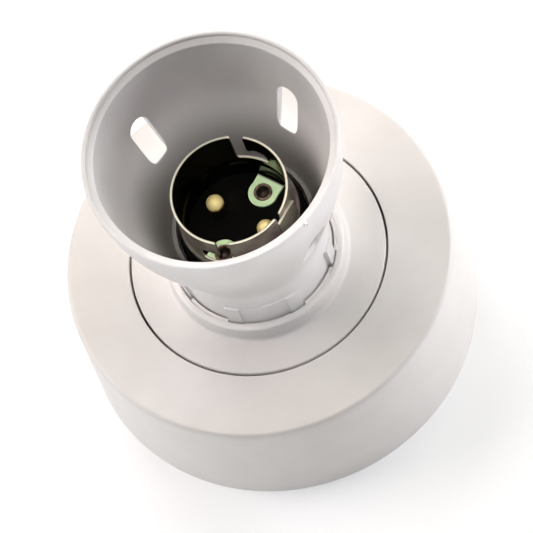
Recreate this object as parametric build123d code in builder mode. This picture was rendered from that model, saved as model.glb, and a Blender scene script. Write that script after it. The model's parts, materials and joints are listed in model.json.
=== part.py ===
import os
from math import degrees, radians, tan

from build123d import *

os.makedirs("parts", exist_ok=True)

# Straight batten lamp holder with a flared skirt, lying on its back.
# The origin is the middle of the mounting face and +Z points out of the lamp's mouth.
# Lengths are in mm. Angles are in degrees, counted from +X towards +Y.

# Clearances
lift_gap = 0.3
running_gap = 0.05
screw_gap = 0.25

# Bayonet sleeve, rolled from sheet
sleeve_r = 11.25
sheet = 0.5
sleeve_height = 16.0
bead_place = 4.4
bead_width = 1.8
bead_rise = 0.5
slot_width = 2.65
slot_depth = 9.0
slot_entry_angle = 61.0
slot_end_angle = 32.7
slot_turn_drop = 5.9
slot_seat_drop = 4.7
slot_seat_span = 13.5
seam_angle = -59.0
seam_span = 5.5
lap_span = 31.0
lap_drop = 1.8
lap_end_drop = 4.4
lug_angle = 36.0
lug_inset = 3.75
lug_r = 3.05
lug_width = 6.0
rivet_hole_r = 1.2
rivet_r = 1.55
rivet_head_r = 1.85
rivet_head = 0.5
rivet_foot_r = 2.3
rivet_length = 12.0
rivet_hollow = 6.0

# Insulating core under the sleeve
core_height = 17.5
core_ledge = 1.45
core_chamfer = 0.4
core_lip = 1.8

# Sprung contacts
contact_angle = -54.0
contact_place = 6.05
contact_reach = 5.6
contact_r = 1.8
contact_dome = 1.6
shoulder_r = 2.4
shoulder_thick = 1.9
barrel_wall = 0.65
barrel_floor = 1.0
wire_r = 0.25
spring_turns = 6
strip_thick = 0.8
strip_width = 5.0
strip_leg_place = 10.1

# Flared skirt
thread_gap = 0.4
neck_wall = 2.6
neck_drop = 1.0
throat_lip = 0.9
throat_lip_rise = 0.4
throat_rise = 0.8
guard_height = 19.2
mouth_r = 23.05
mouth_wall = 2.15
mouth_bead_r = 0.45
mouth_line_drop = 0.7
mouth_lip_drop = 1.5
flare_start = 6.1
flare_end = 14.5
bell_start = 5.5
bell_start_lean = 1.1
bell_end = 15.7
bell_end_lean = 0.85
band_height = 6.1
band_depth = 0.35
tooth_count = 8
tooth_angle = 9.6
tooth_span = 10.5
tooth_proud = 0.3
plain_tooth = 1
vent_count = 4
vent_angle = 31.0
vent_width = 5.0
vent_back = 3.5
vent_corner = 0.9
vent_drop = 12.0

# Outer cover
cover_height = 27.3
cover_band = 14.57
cover_draft = 2.9
cover_wall = 2.2
cover_top = 2.0
cover_edge = 1.0
seam_width = 0.46
seam_lip = 4.0
mouth_clearance = 1.53
crisp_edge = 0.2

# Holder body: the inner disc with its collar
disc_thick = 2.0
drum_wall = 2.0
drum_height = 13.3
well_depth = 2.8
well_floor_thick = 2.0
well_wall = 2.1
collar_rise = 3.5
collar_wall = 1.5
collar_flank = 0.5
collar_edge = 0.55
collar_foot_fillet = 0.8
boss_r = 4.0
boss_inset = 7.27
body_ribs = 6
body_rib_width = 1.4
body_rib_height = 5.0

# Terminal base
base_plate = 2.5
base_rim = 7.0
base_rim_wall = 2.0
grip_ribs = 6
grip_rib_width = 2.4
cable_hole_r = 9.0
cable_lip = 1.5
fixing_spacing = 60.3
fixing_hole_r = 2.1
fixing_pad_r = 4.6
fixing_pad = 1.5
fixing_sink_r = 3.9
fixing_sink_angle = 90
post_r = 4.5
post_top = 12.0
bay_length = 9.0
bay_floor = 6.0
bay_wall = 1.0
bay_wall_height = 7.0
loop_angle = 54.0

# Terminals and screws
terminal_length = 7.6
terminal_width = 8.0
terminal_height = 8.2
wire_hole_r = 1.8
wire_hole_height = 3.8
terminal_screw_r = 1.5
terminal_head_r = 2.4
terminal_head = 1.6
terminal_head_lift = 0.5
screw_slot = 0.7
body_screw_r = 1.25
body_head_r = 3.0
body_head = 2.1
body_screw_cover = 4.5
core_screw_r = 1.2
core_head_r = 2.3
core_head = 1.6
core_screw_reach = 8.5
core_screw_inset = 3.7
core_screw_angle = -9.0

# Radii that follow from the sizes above, from the sleeve outwards
sleeve_outer_r = sleeve_r + sheet
core_r = sleeve_outer_r + core_ledge
lug_place = sleeve_r - lug_inset
core_screw_place = core_r - core_screw_inset
barrel_bore_r = shoulder_r + running_gap
barrel_r = barrel_bore_r + barrel_wall
skirt_bore_r = core_r + thread_gap
throat_r = skirt_bore_r + throat_lip
neck_r = skirt_bore_r + neck_wall
well_r = neck_r + tooth_proud + lift_gap
vent_back_r = throat_r + vent_back
mouth_outer_r = mouth_r + mouth_wall
mouth_line_r = mouth_outer_r - 2 * mouth_bead_r
seam_hole_r = mouth_outer_r + mouth_clearance
disc_r = seam_hole_r - seam_width
post_place = disc_r - boss_inset
cover_r = seam_hole_r + cover_band
cover_lean = tan(radians(cover_draft))
cover_inner_r = cover_r - cover_wall
base_r = cover_inner_r - base_rim * cover_lean - lift_gap
bay_place = base_r - base_rim_wall - bay_length / 2

# Heights that follow, from the mounting face to the mouth
terminal_foot = bay_floor + strip_thick
terminal_top = terminal_foot + terminal_height
collar_top = cover_height + collar_rise
band_top = collar_top + band_height
well_floor = cover_height - well_depth
floor_foot = well_floor - well_floor_thick
strip_top = well_floor + strip_thick
skirt_foot = well_floor + lift_gap
core_top = well_floor + core_height
core_lip_height = core_top - core_lip
shoulder_top = core_lip_height - running_gap
shoulder_foot = shoulder_top - shoulder_thick
spring_seat = strip_top + barrel_floor
contact_tip = core_top + contact_reach
rivet_foot_height = core_top - rivet_length
sleeve_top = core_top + sleeve_height
bead_low = core_top + bead_place
bead_high = bead_low + bead_width
mouth_height = sleeve_top + guard_height
throat_height = core_top + throat_rise
neck_top = core_top - neck_drop
flare_top = mouth_height - mouth_bead_r
mouth_lip_height = mouth_height - mouth_lip_drop
vent_top = mouth_height - vent_drop
core_screw_tip = well_floor + core_screw_reach
body_screw_tip = well_floor - body_screw_cover

tooth_pitch = 360 / tooth_count
tooth_play = degrees(lift_gap / neck_r)

neutral_angle = contact_angle + 180
earth_angle = loop_angle + 180
post_angle = 90


def upright(angle):
    """A plane through the Z axis, with local X pointing out at this angle and local Y up."""
    outward = Vector(1, 0, 0).rotate(Axis.Z, angle)
    return Plane(origin=(0, 0, 0), x_dir=outward, z_dir=outward.cross(Vector(0, 0, 1)))


def facing(angle, distance):
    """A plane that faces out at this angle, with local X sideways and local Y up."""
    outward = Vector(1, 0, 0).rotate(Axis.Z, angle)
    sideways = Vector(0, 1, 0).rotate(Axis.Z, angle)
    return Plane(origin=outward * distance, x_dir=sideways, z_dir=outward)


def tooth_start(tooth):
    """The angle at which a tooth of the skirt's neck begins."""
    return tooth_angle + tooth * tooth_pitch - tooth_span / 2


def followed_by_window(tooth):
    """Two opposite teeth have the plain neck after them, and the others a shallow window."""
    return tooth % (tooth_count // 2) != plain_tooth


def ring_block(angle, span, inner_r, outer_r, low, high, mode=Mode.ADD):
    """A block of ring: the rectangle in the upright plane, turned through the span."""
    with BuildSketch(upright(angle)) as section:
        with Locations(((inner_r + outer_r) / 2, (low + high) / 2)):
            Rectangle(outer_r - inner_r, high - low)
    revolve(section.sketch, Axis.Z, revolution_arc=span, mode=mode)


# The outer cover slips down over the skirt and grips the base's rim.
with BuildPart() as cover_ring:
    with BuildSketch(Plane.XZ):
        with BuildLine():
            Polyline(
                (cover_inner_r, 0),
                (cover_r, 0),
                (cover_r - cover_height * cover_lean, cover_height),
                (seam_hole_r, cover_height),
                (seam_hole_r, cover_height - seam_lip),
                (seam_hole_r + cover_top, cover_height - seam_lip),
                (seam_hole_r + cover_top, cover_height - cover_top),
                (cover_inner_r - (cover_height - cover_top) * cover_lean, cover_height - cover_top),
                close=True,
            )
        make_face()
    revolve(axis=Axis.Z)
    top_edges = cover_ring.edges().filter_by(GeomType.CIRCLE).group_by(Axis.Z)[-1]
    fillet(top_edges.sort_by(SortBy.RADIUS)[-1], cover_edge)
    top_edges = cover_ring.edges().filter_by(GeomType.CIRCLE).group_by(Axis.Z)[-1]
    chamfer(top_edges.sort_by(SortBy.RADIUS)[0], crisp_edge)

# The base carries the terminals and takes the two fixing screws.
with BuildPart() as base:
    with BuildSketch():
        Circle(base_r)
    extrude(amount=base_plate)
    with BuildSketch(Plane.XY.offset(base_plate)):
        Circle(base_r)
        Circle(base_r - base_rim_wall, mode=Mode.SUBTRACT)
    extrude(amount=base_rim - base_plate)
    with BuildSketch(Plane.XY.offset(base_plate)):
        Circle(cable_hole_r + cable_lip)
        with GridLocations(fixing_spacing, 0, 2, 1):
            Circle(fixing_pad_r)
        Circle(base_r, mode=Mode.INTERSECT)
    extrude(amount=fixing_pad)
    with BuildSketch(Plane.XY.offset(base_plate)):
        with PolarLocations(post_place, 2, post_angle):
            Circle(post_r)
    extrude(amount=post_top - base_plate)
    # Four terminal bays, two of them with a rib that carries a contact strip
    with BuildSketch(Plane.XY.offset(base_plate)):
        with PolarLocations(bay_place, 2, contact_angle):
            Rectangle(bay_length, terminal_width + 2 * bay_wall)
        with PolarLocations((strip_leg_place + bay_place) / 2, 2, contact_angle):
            Rectangle(bay_place - strip_leg_place, strip_width)
    extrude(amount=bay_floor - base_plate)
    with BuildSketch(Plane.XY.offset(base_plate)):
        with PolarLocations(bay_place, 2, loop_angle):
            Rectangle(bay_length, terminal_width + 2 * bay_wall)
    extrude(amount=terminal_foot - base_plate)
    with BuildSketch(Plane.XY.offset(base_plate)):
        for bay_angle in (contact_angle, loop_angle):
            with PolarLocations(bay_place, 2, bay_angle):
                with GridLocations(0, terminal_width + bay_wall + lift_gap, 1, 2):
                    Rectangle(bay_length, bay_wall)
    extrude(amount=bay_floor + bay_wall_height - base_plate)
    # Grip ribs for the outer cover
    with BuildSketch(Plane.XY.offset(base_plate)):
        with PolarLocations(base_r, grip_ribs):
            Rectangle(2 * (lift_gap - running_gap), grip_rib_width)
    extrude(amount=base_rim - base_plate)
    # Cable entry, fixing holes and the screw holes through the posts
    Cylinder(cable_hole_r, 3 * cover_height, mode=Mode.SUBTRACT)
    with Locations(Plane.XY.offset(base_plate + fixing_pad)):
        with GridLocations(fixing_spacing, 0, 2, 1):
            CounterSinkHole(fixing_hole_r, fixing_sink_r, counter_sink_angle=fixing_sink_angle)
    with BuildSketch():
        with PolarLocations(post_place, 2, post_angle):
            Circle(body_screw_r + screw_gap)
    extrude(amount=post_top, mode=Mode.SUBTRACT)
    with BuildSketch():
        with PolarLocations(post_place, 2, post_angle):
            Circle(body_head_r + screw_gap)
    extrude(amount=body_head + screw_gap, mode=Mode.SUBTRACT)

# The holder body stands on the base's posts: a disc on a drum, with the collar's deep well.
with BuildPart() as holder_body:
    with BuildSketch(Plane.XZ):
        with BuildLine():
            Polyline(
                (0, floor_foot),
                (well_r + well_wall, floor_foot),
                (well_r + well_wall, cover_height - disc_thick),
                (disc_r - drum_wall, cover_height - disc_thick),
                (disc_r - drum_wall, cover_height - drum_height),
                (disc_r, cover_height - drum_height),
                (disc_r, cover_height),
                (well_r + collar_wall + collar_flank, cover_height),
                (well_r + collar_wall, collar_top),
                (well_r, collar_top),
                (well_r, well_floor),
                (0, well_floor),
                close=True,
            )
        make_face()
    revolve(axis=Axis.Z)
    rings = holder_body.edges().filter_by(GeomType.CIRCLE)
    fillet(rings.group_by(Axis.Z)[-1], collar_edge)
    rings = holder_body.edges().filter_by(GeomType.CIRCLE)
    fillet(rings.filter_by_position(Axis.Z, cover_height, cover_height).sort_by(SortBy.RADIUS)[0],
           collar_foot_fillet)
    rings = holder_body.edges().filter_by(GeomType.CIRCLE)
    chamfer(rings.filter_by_position(Axis.Z, cover_height, cover_height).sort_by(SortBy.RADIUS)[-1],
            crisp_edge)
    # Screw bosses and stiffening ribs under the disc
    with BuildSketch(Plane.XY.offset(post_top)):
        with PolarLocations(post_place, 2, post_angle):
            Circle(boss_r)
    extrude(amount=cover_height - disc_thick - post_top)
    rib_length = disc_r - drum_wall - well_r
    with BuildSketch(Plane.XY.offset(cover_height - disc_thick - body_rib_height)):
        with PolarLocations(well_r + rib_length / 2, body_ribs):
            Rectangle(rib_length + drum_wall, body_rib_width)
    extrude(amount=body_rib_height)
    with BuildSketch(Plane.XY.offset(well_floor)):
        Circle(well_r)
    extrude(amount=cover_height, mode=Mode.SUBTRACT)
    # Ribs in the well lock between the skirt's teeth, so the joint shows as one thin line.
    for tooth in range(tooth_count):
        neck_here = neck_r - band_depth if followed_by_window(tooth) else neck_r
        ring_block(tooth_start(tooth) + tooth_span + tooth_play,
                   tooth_pitch - tooth_span - 2 * tooth_play, neck_here + lift_gap,
                   well_r + well_wall / 2, well_floor, collar_top - collar_edge)
    # Screw holes in the bosses, and the way through the floor for the strips and core screws
    with BuildSketch(Plane.XY.offset(post_top)):
        with PolarLocations(post_place, 2, post_angle):
            Circle(body_screw_r)
    extrude(amount=body_screw_tip - post_top + screw_gap, mode=Mode.SUBTRACT)
    with BuildSketch(Plane.XY.offset(floor_foot)):
        with PolarLocations(strip_leg_place, 2, contact_angle):
            Rectangle(strip_thick + 2 * screw_gap, strip_width + 2 * screw_gap)
        with PolarLocations(core_screw_place, 2, core_screw_angle):
            Circle(core_screw_r + screw_gap)
    extrude(amount=well_floor_thick, mode=Mode.SUBTRACT)

# The skirt: a bell with a beaded rim, a toothed neck and four vents.
with BuildPart() as skirt:
    with BuildSketch(Plane.XZ):
        with BuildLine():
            Line((skirt_bore_r, skirt_foot), (neck_r, skirt_foot))
            Line((neck_r, skirt_foot), (neck_r, neck_top))
            Bezier(
                (neck_r, neck_top),
                (neck_r, neck_top + flare_start),
                (mouth_outer_r, flare_top - flare_end),
                (mouth_outer_r, flare_top),
            )
            CenterArc((mouth_outer_r - mouth_bead_r, flare_top), mouth_bead_r, 0, 180)
            Polyline(
                (mouth_line_r, flare_top),
                (mouth_line_r, mouth_height - mouth_line_drop),
                (mouth_r, mouth_lip_height),
            )
            Bezier(
                (mouth_r, mouth_lip_height),
                (mouth_r - bell_end_lean, mouth_lip_height - bell_end),
                (throat_r + bell_start_lean, throat_height + bell_start),
                (throat_r, throat_height),
            )
            Polyline(
                (throat_r, throat_height),
                (skirt_bore_r, throat_height + throat_lip_rise),
                (skirt_bore_r, skirt_foot),
            )
        make_face()
    revolve(axis=Axis.Z)
    for tooth in range(tooth_count):
        start = tooth_start(tooth)
        ring_block(start, tooth_span, neck_r - band_depth, neck_r + tooth_proud, skirt_foot, band_top)
        if followed_by_window(tooth):
            ring_block(start + tooth_span, tooth_pitch - tooth_span, neck_r - band_depth,
                       neck_r + tooth_proud, skirt_foot, band_top, Mode.SUBTRACT)
    # The vents are cut straight up from below, so each one starts as a groove in the flare.
    # The groove's back corners are round, which rounds the corners of the vent's sill.
    for vent in range(vent_count):
        with BuildSketch(facing(vent_angle + vent * 360 / vent_count, vent_back_r)):
            with Locations((0, (neck_top + vent_top - vent_width / 2) / 2)):
                Rectangle(vent_width, vent_top - vent_width / 2 - neck_top)
            with Locations((0, vent_top - vent_width / 2)):
                Circle(vent_width / 2)
        extrude(amount=mouth_r, mode=Mode.SUBTRACT)
    upright_edges = skirt.edges().filter_by(Axis.Z)
    fillet([edge for edge in upright_edges if Vector(edge.center().X, edge.center().Y).length > vent_back_r],
           vent_corner)

# The insulating core stands in the well and fills the bayonet sleeve's foot.
with BuildPart() as insulator:
    with BuildSketch(Plane.XY.offset(well_floor)):
        Circle(core_r)
    extrude(amount=core_top - well_floor)
    chamfer(insulator.edges().group_by(Axis.Z)[-1], core_chamfer)
    # Stepped holes for the sprung contacts
    with BuildSketch(Plane.XY.offset(well_floor)):
        with PolarLocations(contact_place, 2, contact_angle):
            Circle(barrel_r + running_gap)
    extrude(amount=core_lip_height - well_floor, mode=Mode.SUBTRACT)
    with BuildSketch(Plane.XY.offset(well_floor)):
        with PolarLocations(contact_place, 2, contact_angle):
            Circle(contact_r + running_gap)
    extrude(amount=core_top - well_floor, mode=Mode.SUBTRACT)
    # Pockets under the contacts for the strips
    strip_inner = contact_place - barrel_r
    with BuildSketch(Plane.XY.offset(well_floor)):
        with PolarLocations((strip_inner + core_r) / 2, 2, contact_angle):
            Rectangle(core_r - strip_inner + 2 * running_gap, strip_width + 2 * running_gap)
    extrude(amount=strip_thick, mode=Mode.SUBTRACT)
    # Rivet holes, sunk from below, and the pilot holes of the core screws
    with BuildSketch(Plane.XY.offset(well_floor)):
        with PolarLocations(lug_place, 2, lug_angle):
            Circle(rivet_foot_r + screw_gap)
    extrude(amount=rivet_foot_height - well_floor, mode=Mode.SUBTRACT)
    with BuildSketch(Plane.XY.offset(well_floor)):
        with PolarLocations(lug_place, 2, lug_angle):
            Circle(rivet_r)
    extrude(amount=core_top - well_floor, mode=Mode.SUBTRACT)
    with BuildSketch(Plane.XY.offset(well_floor)):
        with PolarLocations(core_screw_place, 2, core_screw_angle):
            Circle(core_screw_r)
    extrude(amount=core_screw_tip - well_floor + screw_gap, mode=Mode.SUBTRACT)

# The seam's outer lap: a strip of the same sheet with one sloping end.
with BuildPart() as lap:
    lap_side = 2 * sleeve_outer_r * tan(radians(lap_span / 2))
    with BuildSketch(facing(seam_angle + lap_span / 2, 0)):
        with BuildLine():
            Polyline(
                (-lap_side / 2, bead_high),
                (lap_side / 2, bead_high),
                (lap_side / 2, sleeve_top - lap_end_drop),
                (0, sleeve_top - lap_drop),
                (-lap_side / 2, sleeve_top - lap_drop),
                close=True,
            )
        make_face()
    extrude(amount=2 * sleeve_r)
    with BuildSketch():
        Circle(sleeve_outer_r + sheet)
        Circle(sleeve_outer_r, mode=Mode.SUBTRACT)
    extrude(amount=sleeve_top, mode=Mode.INTERSECT)

# The bayonet sleeve: rolled sheet with a bead, two J slots, an open seam and two foot lugs.
with BuildPart() as sleeve:
    bead_middle = (bead_low + bead_high) / 2
    with BuildSketch(Plane.XZ):
        with BuildLine():
            Line((sleeve_outer_r, core_top), (sleeve_outer_r, bead_low))
            ThreePointArc((sleeve_outer_r, bead_low), (sleeve_outer_r + bead_rise, bead_middle),
                          (sleeve_outer_r, bead_high))
            Polyline(
                (sleeve_outer_r, bead_high),
                (sleeve_outer_r, sleeve_top),
                (sleeve_r, sleeve_top),
                (sleeve_r, bead_high),
            )
            ThreePointArc((sleeve_r, bead_high), (sleeve_r + bead_rise, bead_middle),
                          (sleeve_r, bead_low))
            Polyline((sleeve_r, bead_low), (sleeve_r, core_top), (sleeve_outer_r, core_top))
        make_face()
    revolve(axis=Axis.Z)
    for turn in (0, 180):
        # Down the entry, round under the hook and up into the pin's seat
        entry = facing(slot_entry_angle + turn, 0)
        with BuildSketch(entry):
            with Locations((0, sleeve_top - slot_depth / 2)):
                Rectangle(slot_width, slot_depth)
        extrude(amount=2 * sleeve_r, mode=Mode.SUBTRACT)
        slot_floor = sleeve_top - slot_depth
        reach_in = sleeve_r - sheet
        reach_out = sleeve_outer_r + sheet
        ring_block(slot_end_angle + turn, slot_entry_angle - slot_end_angle, reach_in, reach_out,
                   slot_floor, sleeve_top - slot_turn_drop, Mode.SUBTRACT)
        ring_block(slot_end_angle + turn, slot_seat_span, reach_in, reach_out,
                   slot_floor, sleeve_top - slot_seat_drop, Mode.SUBTRACT)
    ring_block(seam_angle, seam_span, sleeve_r - sheet, sleeve_outer_r + sheet + bead_rise,
               core_top, sleeve_top, Mode.SUBTRACT)
    add(lap.part)
    # Lugs folded inwards from the foot
    with BuildSketch(Plane.XY.offset(core_top)):
        for turn in (0, 180):
            with PolarLocations((lug_place + sleeve_r) / 2, 1, lug_angle + turn):
                Rectangle(sleeve_r - lug_place, lug_width)
            with PolarLocations(lug_place, 1, lug_angle + turn):
                Circle(lug_r)
                Circle(rivet_r, mode=Mode.SUBTRACT)
    extrude(amount=sheet)

# Tubular rivets hold the lugs to the core.
with BuildPart() as sleeve_rivets:
    for turn in (0, 180):
        rivet_axis = Vector(lug_place, 0, 0).rotate(Axis.Z, lug_angle + turn)
        lug_top = core_top + sheet
        with BuildSketch(Plane.XY.offset(lug_top)):
            with Locations((rivet_axis.X, rivet_axis.Y)):
                Circle(rivet_head_r)
        extrude(amount=rivet_head)
    fillet(sleeve_rivets.edges().group_by(Axis.Z)[-1], rivet_head / 2)
    with BuildSketch(Plane.XY.offset(rivet_foot_height)):
        with PolarLocations(lug_place, 2, lug_angle):
            Circle(rivet_r)
    extrude(amount=lug_top - rivet_foot_height)
    with BuildSketch(Plane.XY.offset(rivet_foot_height)):
        with PolarLocations(lug_place, 2, lug_angle):
            Circle(rivet_foot_r)
    extrude(amount=-rivet_head)
    with BuildSketch(Plane.XY.offset(lug_top + rivet_head)):
        with PolarLocations(lug_place, 2, lug_angle):
            Circle(rivet_hole_r)
    extrude(amount=-rivet_hollow, mode=Mode.SUBTRACT)

# Each line conductor has a sprung contact in a brass barrel, standing on a strip.
for pole, pole_angle in (("live", contact_angle), ("neutral", neutral_angle)):
    contact_axis = Vector(contact_place, 0, 0).rotate(Axis.Z, pole_angle)
    contact_middle = (contact_axis.X, contact_axis.Y)

    with BuildPart() as plunger:
        with BuildSketch(Plane.XY.offset(shoulder_foot)):
            with Locations(contact_middle):
                Circle(shoulder_r)
        extrude(amount=shoulder_thick)
        with BuildSketch(Plane.XY.offset(shoulder_foot)):
            with Locations(contact_middle):
                Circle(contact_r)
        extrude(amount=contact_tip - shoulder_foot)
        fillet(plunger.edges().group_by(Axis.Z)[-1], contact_dome)
    plunger.part.label = pole + "_plunger"
    export_step(plunger.part, "parts/" + pole + "_plunger.step")

    with BuildPart() as barrel:
        with BuildSketch(Plane.XY.offset(strip_top)):
            with Locations(contact_middle):
                Circle(barrel_r)
        extrude(amount=core_lip_height - strip_top)
        with BuildSketch(Plane.XY.offset(spring_seat)):
            with Locations(contact_middle):
                Circle(barrel_bore_r)
        extrude(amount=core_lip_height - spring_seat, mode=Mode.SUBTRACT)
    barrel.part.label = pole + "_barrel"
    export_step(barrel.part, "parts/" + pole + "_barrel.step")

    coil_r = shoulder_r - 2 * wire_r
    coil_foot = spring_seat + wire_r + running_gap
    coil_height = shoulder_foot - running_gap - wire_r - coil_foot
    with BuildPart() as spring:
        with BuildLine():
            coil = Helix(coil_height / spring_turns, coil_height, coil_r,
                         center=(contact_axis.X, contact_axis.Y, coil_foot))
        with BuildSketch(Plane(origin=coil @ 0, z_dir=coil % 0)):
            RegularPolygon(wire_r, 6)
        sweep(is_frenet=True)
    spring.part.label = pole + "_spring"
    export_step(spring.part, "parts/" + pole + "_spring.step")

    # The strip runs under the barrel, down through the floor and out to the terminal.
    leg_inner = strip_leg_place - strip_thick / 2
    leg_outer = strip_leg_place + strip_thick / 2
    with BuildPart() as strip:
        with BuildSketch(upright(pole_angle)):
            with BuildLine():
                Polyline(
                    (contact_place - barrel_r, well_floor),
                    (leg_inner, well_floor),
                    (leg_inner, bay_floor),
                    (bay_place + terminal_length / 2, bay_floor),
                    (bay_place + terminal_length / 2, bay_floor + strip_thick),
                    (leg_outer, bay_floor + strip_thick),
                    (leg_outer, strip_top),
                    (contact_place - barrel_r, strip_top),
                    close=True,
                )
            make_face()
        extrude(amount=strip_width / 2, both=True)
    strip.part.label = pole + "_strip"
    export_step(strip.part, "parts/" + pole + "_strip.step")

# Four brass terminals: a block with a wire hole from the middle and a clamping screw on top.
terminal_angles = {
    "live": contact_angle,
    "neutral": neutral_angle,
    "loop": loop_angle,
    "earth": earth_angle,
}
for pole, pole_angle in terminal_angles.items():
    with BuildPart() as terminal:
        with BuildSketch(Plane.XY.offset(terminal_foot)):
            with PolarLocations(bay_place, 1, pole_angle):
                Rectangle(terminal_length, terminal_width)
        extrude(amount=terminal_height)
        chamfer(terminal.edges().filter_by(Axis.Z), crisp_edge)
        with BuildSketch(facing(pole_angle, bay_place - terminal_length / 2)):
            with Locations((0, terminal_foot + wire_hole_height)):
                Circle(wire_hole_r)
        extrude(amount=terminal_length - wire_hole_r, mode=Mode.SUBTRACT)
        with BuildSketch(Plane.XY.offset(terminal_top)):
            with PolarLocations(bay_place, 1, pole_angle):
                Circle(terminal_screw_r)
        extrude(amount=wire_hole_height - terminal_height, mode=Mode.SUBTRACT)
    terminal.part.label = pole + "_terminal"
    export_step(terminal.part, "parts/" + pole + "_terminal.step")

with BuildPart() as terminal_screws:
    for pole_angle in terminal_angles.values():
        head_foot = terminal_top + terminal_head_lift
        with BuildSketch(Plane.XY.offset(head_foot)):
            with PolarLocations(bay_place, 1, pole_angle):
                Circle(terminal_head_r)
        extrude(amount=terminal_head)
        with BuildSketch(Plane.XY.offset(head_foot)):
            with PolarLocations(bay_place, 1, pole_angle):
                Circle(terminal_screw_r)
        extrude(amount=terminal_foot + wire_hole_height + wire_hole_r - head_foot)
        with BuildSketch(Plane.XY.offset(head_foot + terminal_head)):
            with PolarLocations(bay_place, 1, pole_angle):
                Rectangle(2 * terminal_head_r, screw_slot)
        extrude(amount=-terminal_head / 2, mode=Mode.SUBTRACT)

# Two screws from the back hold the holder body to the base.
with BuildPart() as body_screws:
    head_top = body_head + screw_gap
    with BuildSketch(Plane.XY.offset(screw_gap)):
        with PolarLocations(post_place, 2, post_angle):
            Circle(body_head_r)
    extrude(amount=body_head)
    with BuildSketch(Plane.XY.offset(head_top)):
        with PolarLocations(post_place, 2, post_angle):
            Circle(body_screw_r)
    extrude(amount=body_screw_tip - head_top)
    with BuildSketch(Plane.XY.offset(screw_gap)):
        with PolarLocations(post_place, 2, post_angle):
            Rectangle(2 * body_head_r, screw_slot)
    extrude(amount=body_head / 2, mode=Mode.SUBTRACT)

# Two screws from under the floor hold the insulating core.
with BuildPart() as core_screws:
    with BuildSketch(Plane.XY.offset(floor_foot - core_head)):
        with PolarLocations(core_screw_place, 2, core_screw_angle):
            Circle(core_head_r)
    extrude(amount=core_head)
    with BuildSketch(Plane.XY.offset(floor_foot)):
        with PolarLocations(core_screw_place, 2, core_screw_angle):
            Circle(core_screw_r)
    extrude(amount=core_screw_tip - floor_foot)
    with BuildSketch(Plane.XY.offset(floor_foot - core_head)):
        with PolarLocations(core_screw_place, 2, core_screw_angle):
            Rectangle(2 * core_head_r, screw_slot)
    extrude(amount=core_head / 2, mode=Mode.SUBTRACT)

cover_ring.part.label = "cover_ring"
base.part.label = "base"
holder_body.part.label = "holder_body"
skirt.part.label = "skirt"
insulator.part.label = "insulator"
sleeve.part.label = "sleeve"
sleeve_rivets.part.label = "sleeve_rivets"
terminal_screws.part.label = "terminal_screws"
body_screws.part.label = "body_screws"
core_screws.part.label = "core_screws"

export_step(cover_ring.part, "parts/cover_ring.step")
export_step(base.part, "parts/base.step")
export_step(holder_body.part, "parts/holder_body.step")
export_step(skirt.part, "parts/skirt.step")
export_step(insulator.part, "parts/insulator.step")
export_step(sleeve.part, "parts/sleeve.step")
export_step(sleeve_rivets.part, "parts/sleeve_rivets.step")
export_step(terminal_screws.part, "parts/terminal_screws.step")
export_step(body_screws.part, "parts/body_screws.step")
export_step(core_screws.part, "parts/core_screws.step")
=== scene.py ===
import json
from bisect import bisect_right
from math import cos, degrees, pi, radians, sin, sqrt

import bmesh
import bpy
from mathutils import Matrix, Vector
from mathutils.geometry import delaunay_2d_cdt

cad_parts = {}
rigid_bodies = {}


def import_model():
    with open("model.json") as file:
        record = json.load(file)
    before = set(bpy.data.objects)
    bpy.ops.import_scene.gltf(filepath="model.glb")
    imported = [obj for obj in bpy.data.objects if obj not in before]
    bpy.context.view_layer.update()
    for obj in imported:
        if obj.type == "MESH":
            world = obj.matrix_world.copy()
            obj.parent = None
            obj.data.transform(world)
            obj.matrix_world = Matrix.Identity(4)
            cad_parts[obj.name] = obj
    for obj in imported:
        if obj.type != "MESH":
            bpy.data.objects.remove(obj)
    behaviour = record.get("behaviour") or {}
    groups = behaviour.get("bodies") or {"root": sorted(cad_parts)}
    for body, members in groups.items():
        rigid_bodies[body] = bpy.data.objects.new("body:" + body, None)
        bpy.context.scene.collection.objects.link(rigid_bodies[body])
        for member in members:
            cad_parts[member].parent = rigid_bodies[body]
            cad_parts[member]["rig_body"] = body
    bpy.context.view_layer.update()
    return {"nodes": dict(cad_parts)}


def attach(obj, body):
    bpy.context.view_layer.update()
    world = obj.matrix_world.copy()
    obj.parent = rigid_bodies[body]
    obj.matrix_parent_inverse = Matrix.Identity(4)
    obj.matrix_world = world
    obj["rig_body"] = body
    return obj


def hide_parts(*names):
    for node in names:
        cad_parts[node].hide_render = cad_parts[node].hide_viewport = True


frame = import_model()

# The room: a pale sweep of floor under soft studio light, with the camera high on the lamp's
# mouth and turned, as the photographer held it.
def linear(hex_colour):
    """An sRGB hex colour as Blender's linear colour."""
    channels = [int(hex_colour[i:i + 2], 16) / 255 for i in (1, 3, 5)]
    return [c / 12.92 if c <= 0.04045 else ((c + 0.055) / 1.055) ** 2.4 for c in channels] + [1.0]


def join(made, links):
    """Link a node's inputs, each from another node's first output or from (node, output)."""
    for key, link in links.items():
        source, output = link if isinstance(link, tuple) else (link, 0)
        made.id_data.links.new(source.outputs[output], made.inputs[key])


def node(tree, kind, settings=None, links=None):
    """Add a node with its settings, by attribute, socket or a ramp's stops, and its links."""
    made = tree.nodes.new(kind)
    for key, value in (settings or {}).items():
        if key == "stops":
            ramp = made.color_ramp.elements
            for spot, colour in value[1:-1]:
                ramp.new(spot)
            for stop, (spot, colour) in zip(ramp, value):
                stop.position = spot
                stop.color = linear(colour)
        elif isinstance(key, str) and hasattr(made, key):
            setattr(made, key, value)
        else:
            made.inputs[key].default_value = value
    join(made, links or {})
    return made


def material(name, sockets):
    """A new material whose shader takes these values."""
    made = bpy.data.materials.new(name)
    made.use_nodes = True
    shader = made.node_tree.nodes["Principled BSDF"]
    for key, value in sockets.items():
        shader.inputs[key].default_value = value
    return made, made.node_tree, shader


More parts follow.
